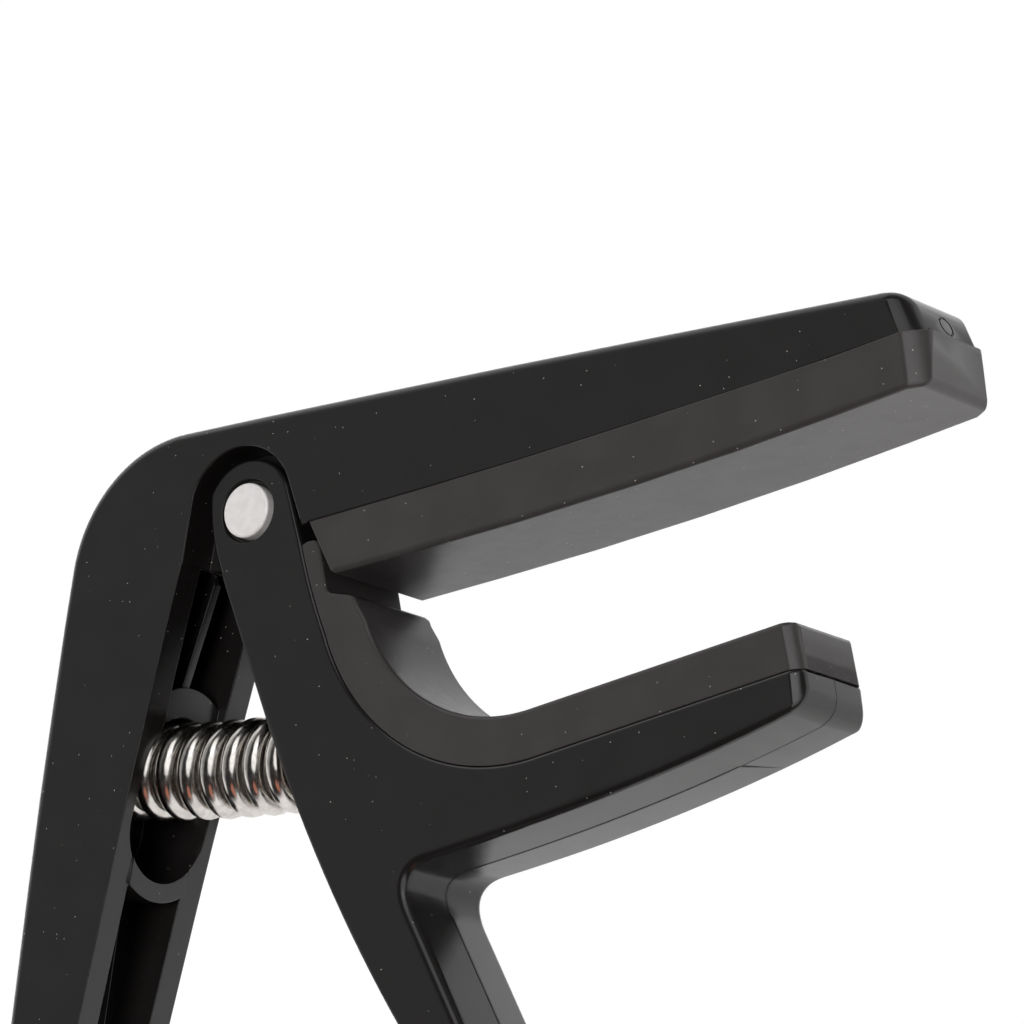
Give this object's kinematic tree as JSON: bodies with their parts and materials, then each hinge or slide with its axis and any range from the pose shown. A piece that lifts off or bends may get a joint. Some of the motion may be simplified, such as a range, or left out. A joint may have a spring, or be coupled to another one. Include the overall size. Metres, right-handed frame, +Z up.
{
  "type": "guitar capo",
  "caption": "Spring-loaded trigger capo for a guitar neck: a padded string bar and a padded lever jaw, pinned together and closed by a coil spring.",
  "frame": {"origin": "On the frame's flat side that the capo lies on, 10 mm from the pivot axis on the side away from the jaws.", "axes": "+X along the string pad towards the jaw tips, +Y from the neck pad towards the string bar, +Z up along the pivot axis, away from the side it lies on."},
  "size_m": [0.098, 0.0666, 0.0124],
  "materials": {
    "body_plastic": "satin black moulded plastic",
    "pad_rubber": "matte dark grey",
    "spring_steel": "bright nickel plate",
    "pin_steel": "fine matte"
  },
  "bodies": {
    "frame_body": {"frame": "body_plastic", "string_pad": "pad_rubber", "pivot_pin": "pin_steel", "spring": "spring_steel"},
    "lever_body": {"lever": "body_plastic", "neck_pad": "pad_rubber"}
  },
  "joints": [
    {"name": "lever_pivot", "type": "hinge", "parent": "frame_body", "child": "lever_body", "pos_m": [0.01, 0, 0], "axis": [0, 0, -1], "range_deg": [0, 12], "stiffness_Nm_per_rad": 1.4, "deforming": ["spring"]}
  ]
}
